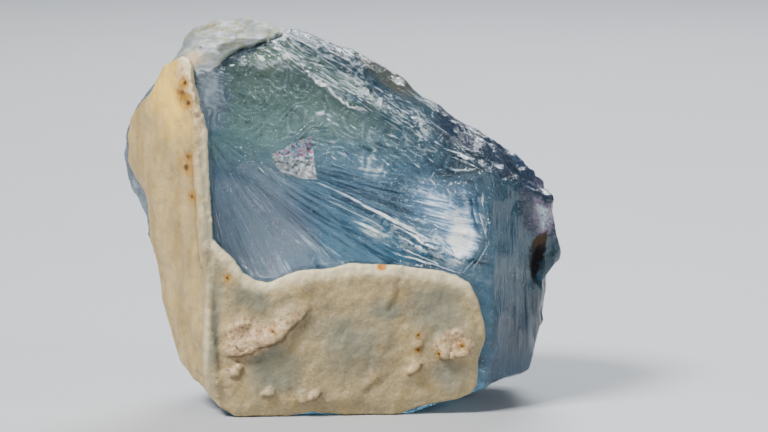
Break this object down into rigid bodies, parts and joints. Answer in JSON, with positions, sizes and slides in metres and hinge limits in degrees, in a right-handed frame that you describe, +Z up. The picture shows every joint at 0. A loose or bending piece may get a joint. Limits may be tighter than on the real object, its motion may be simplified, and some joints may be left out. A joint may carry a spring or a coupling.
{
  "type": "topaz crystal",
  "caption": "Rough blue topaz crystal with an opaque cream crust on its prism faces and a broken, shell-shaped hollow at the front, standing on its flat cleaved base.",
  "frame": {"origin": "middle of the flat base, under the middle of the stone's bounding box", "axes": "+X along the stone's longest side, to the right seen from the crusted front; +Y from the front to the back, the shortest side; +Z up from the flat base"},
  "size_m": [0.0634, 0.0402, 0.0554],
  "materials": {
    "topaz": "clear pale blue, glossy on the shell-shaped breaks, frosted on the cap and the back",
    "crust": "matt cream, fine-grained, with a few rust-brown specks"
  },
  "bodies": {
    "root": {"topaz_crystal": "topaz", "crust": "crust"}
  },
  "joints": []
}
